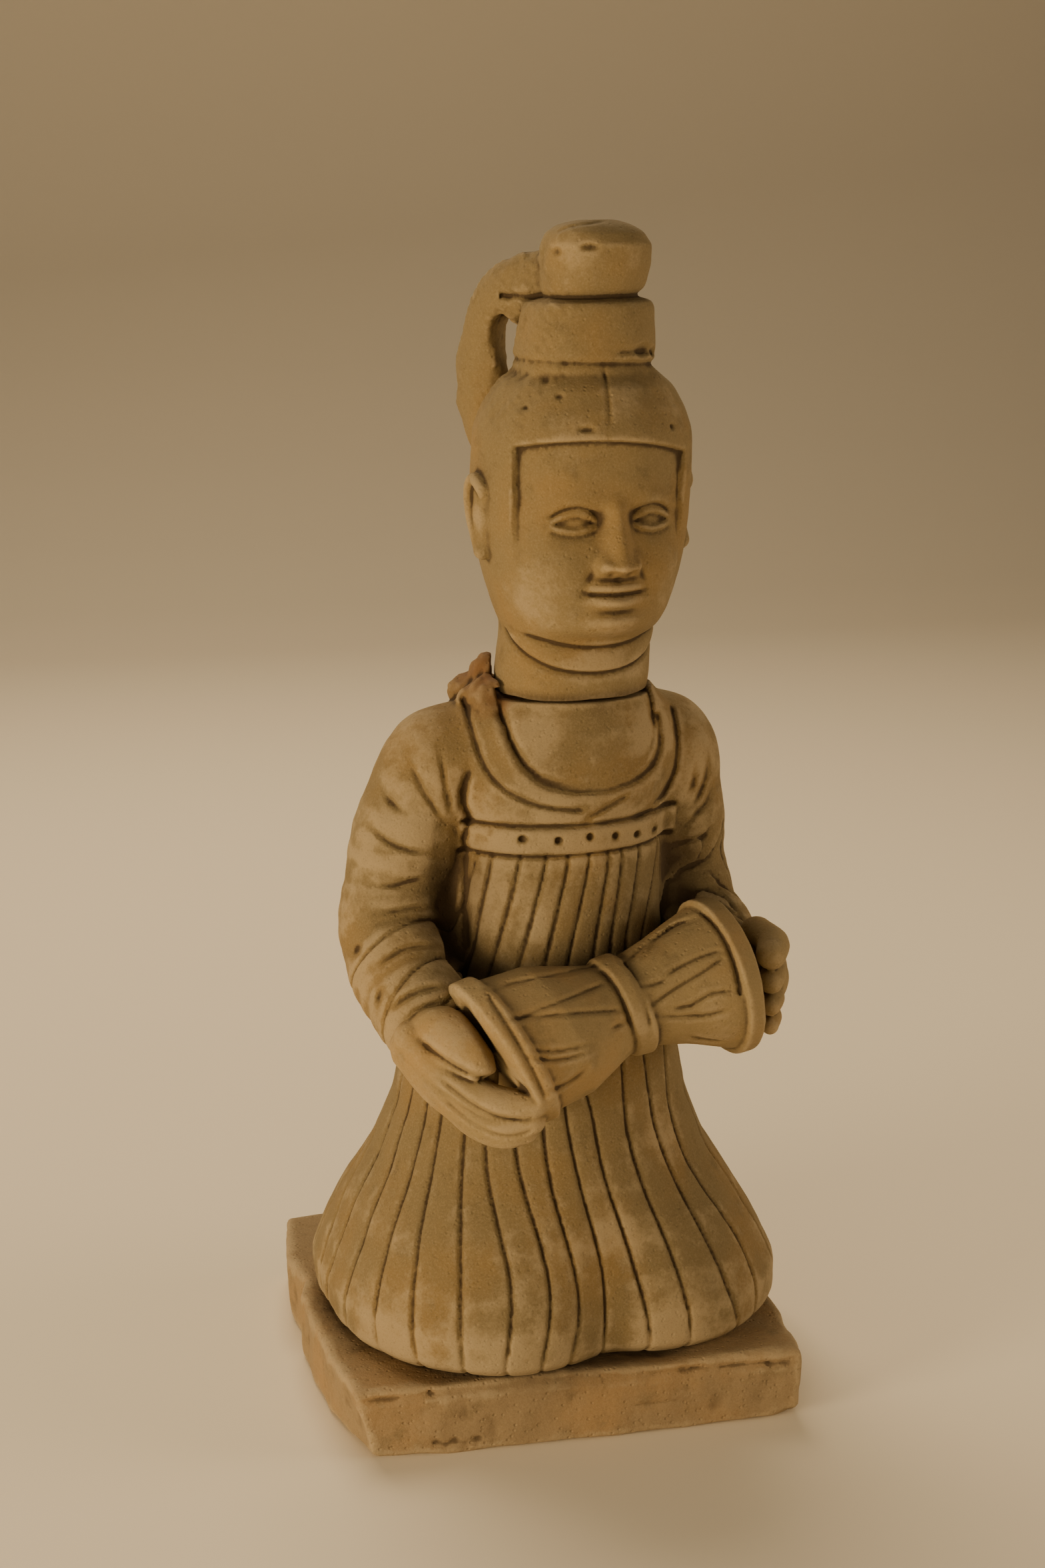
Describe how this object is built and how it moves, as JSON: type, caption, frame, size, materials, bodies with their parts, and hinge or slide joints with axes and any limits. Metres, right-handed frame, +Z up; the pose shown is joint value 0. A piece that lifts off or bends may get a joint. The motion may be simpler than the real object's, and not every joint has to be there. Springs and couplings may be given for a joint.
{
  "type": "pottery musician figure",
  "caption": "Kneeling musician of unglazed fired clay with a high topknot, a pleated chest-high dress and a waisted drum, on a hand-cut square slab.",
  "frame": {"origin": "middle of the slab's underside", "axes": "+Z up through the figure; +X along the slab's front edge, to the right of someone who looks at its front; -Y towards that viewer"},
  "size_m": [0.1056, 0.1085, 0.25],
  "materials": {
    "slab_clay": "unglazed fired clay, ochre brown, hand cut and scratched, with earth in the hollows",
    "body_clay": "unglazed grey-olive fired clay, smoothed, with dark earth in the incised lines and traces of pale slip",
    "head_clay": "unglazed grey-olive fired clay, pitted on the topknot, with pale slip left on the skin"
  },
  "bodies": {
    "root": {"slab_base": "slab_clay", "figure_body": "body_clay", "head": "head_clay"}
  },
  "joints": []
}
